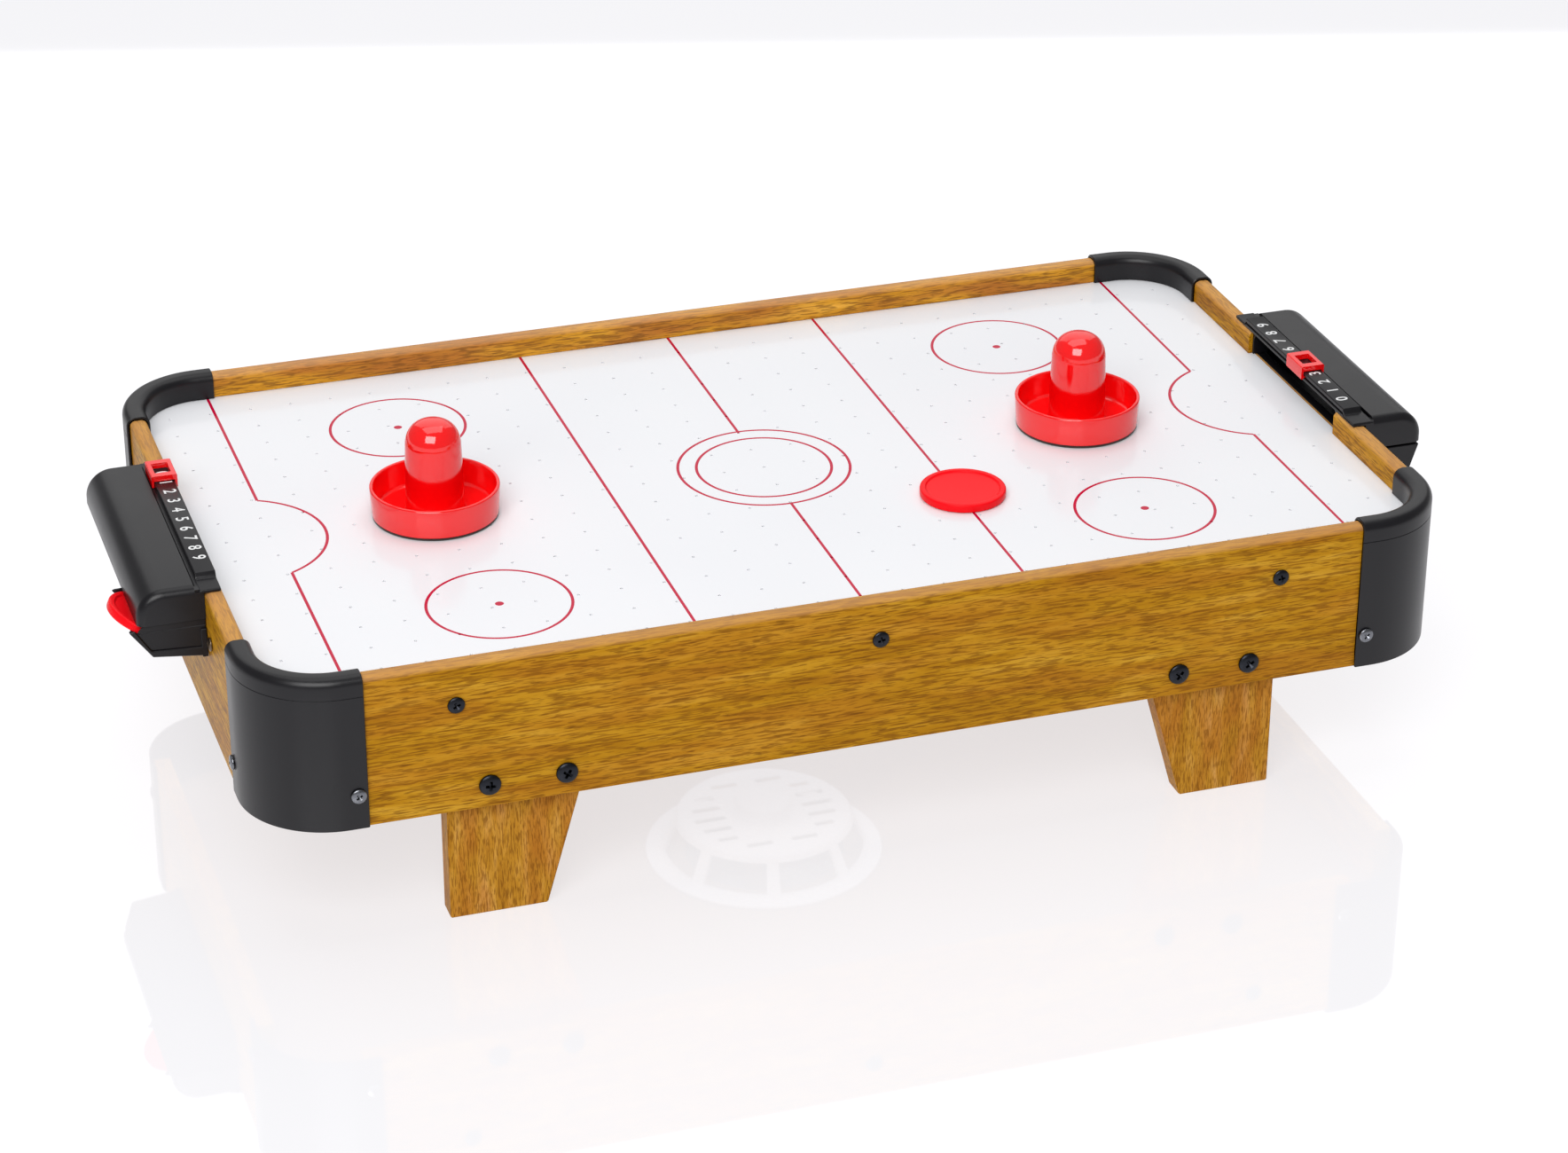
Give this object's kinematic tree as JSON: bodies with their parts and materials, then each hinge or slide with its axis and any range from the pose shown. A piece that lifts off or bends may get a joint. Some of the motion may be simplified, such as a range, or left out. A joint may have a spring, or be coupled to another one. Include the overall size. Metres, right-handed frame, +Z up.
{
  "type": "air hockey table",
  "caption": "Table-top air hockey table with a blown field, goal units with score sliders, and loose mallets and pucks.",
  "frame": {"origin": "on the ground under the centre of the playing field", "axes": "+X along the table to the right-hand goal, +Y away from the front, +Z up"},
  "size_m": [0.8011, 0.4271, 0.2108],
  "materials": {
    "oak_foil": "satin golden-oak printed foil",
    "raw_board": "raw hardboard",
    "black_plastic": "satin charcoal",
    "white_plastic": "satin white",
    "field_gloss": "gloss white laminate with red markings",
    "red_gloss": "gloss red",
    "felt": "dark felt",
    "black_steel": "black cross-recessed heads",
    "zinc_steel": "bright zinc"
  },
  "bodies": {
    "table": {"long_apron_near": "oak_foil", "long_apron_far": "oak_foil", "end_apron_left": "oak_foil", "end_apron_right": "oak_foil", "corner_cover_far_right": "black_plastic", "corner_cover_far_left": "black_plastic", "corner_cover_near_left": "black_plastic", "corner_cover_near_right": "black_plastic", "playfield": "field_gloss", "bottom_panel": "raw_board", "cross_rail_left": "raw_board", "cross_rail_middle": "raw_board", "cross_rail_right": "raw_board", "leg_far_right": "oak_foil", "leg_far_left": "oak_foil", "leg_near_left": "oak_foil", "leg_near_right": "oak_foil", "fan_housing": "white_plastic", "fan_motor": "zinc_steel", "switch_plate": "black_plastic", "goal_hood_left": "black_plastic", "goal_hood_right": "black_plastic", "return_tray_left": "black_plastic", "return_tray_right": "black_plastic", "rail_screw_far_left": "black_steel", "rail_screw_far_middle": "black_steel", "rail_screw_far_right": "black_steel", "leg_bolt_far_left_1": "black_steel", "leg_bolt_far_left_2": "black_steel", "cover_screw_far_left_long": "zinc_steel", "cover_screw_far_left_end": "zinc_steel", "end_screw_far_left": "zinc_steel", "leg_bolt_far_right_1": "black_steel", "leg_bolt_far_right_2": "black_steel", "cover_screw_far_right_long": "zinc_steel", "cover_screw_far_right_end": "zinc_steel", "end_screw_far_right": "zinc_steel", "rail_screw_near_left": "black_steel", "rail_screw_near_middle": "black_steel", "rail_screw_near_right": "black_steel", "leg_bolt_near_left_1": "black_steel", "leg_bolt_near_left_2": "black_steel", "cover_screw_near_left_long": "zinc_steel", "cover_screw_near_left_end": "zinc_steel", "end_screw_near_left": "zinc_steel", "leg_bolt_near_right_1": "black_steel", "leg_bolt_near_right_2": "black_steel", "cover_screw_near_right_long": "zinc_steel", "cover_screw_near_right_end": "zinc_steel", "end_screw_near_right": "zinc_steel"},
    "fan_rotor": {"fan_impeller": "black_plastic"},
    "power_rocker": {"power_rocker": "red_gloss"},
    "score_slider_left": {"score_slider_left": "red_gloss"},
    "score_slider_right": {"score_slider_right": "red_gloss"},
    "mallet_left": {"mallet_left": "red_gloss", "mallet_pad_left": "felt"},
    "mallet_right": {"mallet_right": "red_gloss", "mallet_pad_right": "felt"},
    "puck_in_play": {"puck_in_play": "red_gloss"},
    "puck_spare": {"puck_spare": "red_gloss"}
  },
  "joints": [
    {"name": "fan_spin", "type": "hinge", "parent": "table", "child": "fan_rotor", "pos_m": [0, 0, 0.105], "axis": [0, 0, 1], "continuous": true},
    {"name": "power_switch", "type": "hinge", "parent": "table", "child": "power_rocker", "pos_m": [-0.126, 0.2083, 0.096], "axis": [0, 0, 1], "range_deg": [-16, 0]},
    {"name": "score_left", "type": "slide", "parent": "table", "child": "score_slider_left", "axis": [0, -1, 0], "range_m": [0, 0.118]},
    {"name": "score_right", "type": "slide", "parent": "table", "child": "score_slider_right", "axis": [0, 1, 0], "range_m": [-0.0535, 0.0626]},
    {"name": "mallet_left_slide", "type": "slide", "parent": "table", "child": "mallet_left", "axis": [1, 0, 0], "range_m": [-0.1, 0.16]},
    {"name": "mallet_right_slide", "type": "slide", "parent": "table", "child": "mallet_right", "axis": [1, 0, 0], "range_m": [-0.16, 0.1]},
    {"name": "puck_glide", "type": "slide", "parent": "table", "child": "puck_in_play", "axis": [1, 0, 0], "range_m": [-0.415, 0.216]},
    {"name": "spare_puck_out", "type": "slide", "parent": "table", "child": "puck_spare", "axis": [-0.9135, 0, 0.4067], "range_m": [0, 0.045]}
  ]
}
